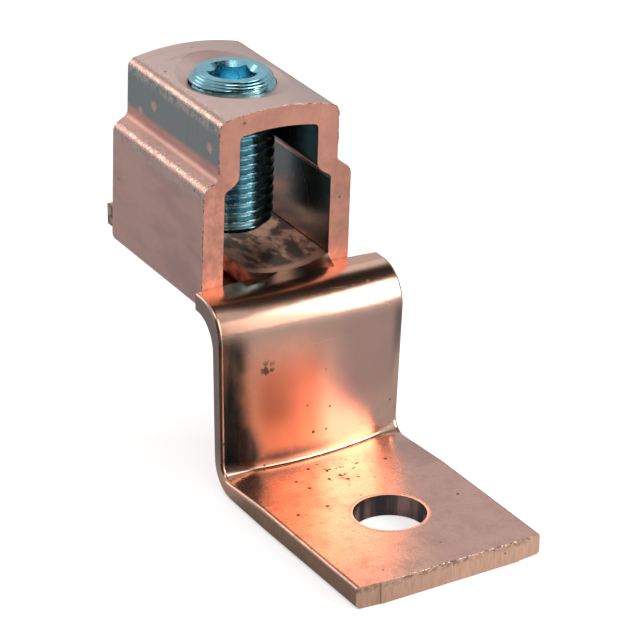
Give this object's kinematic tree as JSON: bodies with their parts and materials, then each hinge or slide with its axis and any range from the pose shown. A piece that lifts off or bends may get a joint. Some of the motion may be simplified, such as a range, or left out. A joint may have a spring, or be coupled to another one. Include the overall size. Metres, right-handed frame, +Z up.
{
  "type": "mechanical lug",
  "caption": "Copper mechanical lug: an offset strap with a stud hole carries a stepped ring collar over its tongue, and a hex-socket set screw clamps the wire.",
  "frame": {"origin": "middle of the stud hole at the underside of the pad", "axes": "+X along the strap to the pad's free end, +Y across the strap, +Z up out of the pad along the stud hole"},
  "size_m": [0.0667, 0.0265, 0.0479],
  "materials": {
    "tang": "rolled copper, satin",
    "collar": "drawn copper, satin with sawn ends",
    "set_screw": "blue zinc plated"
  },
  "bodies": {
    "lug": {"tang": "tang", "collar": "collar"},
    "screw": {"set_screw": "set_screw"}
  },
  "joints": [
    {"name": "screw_travel", "type": "slide", "parent": "lug", "child": "screw", "axis": [0, 0.0366, 0.9993], "range_m": [-0.001, 0.0155]}
  ]
}
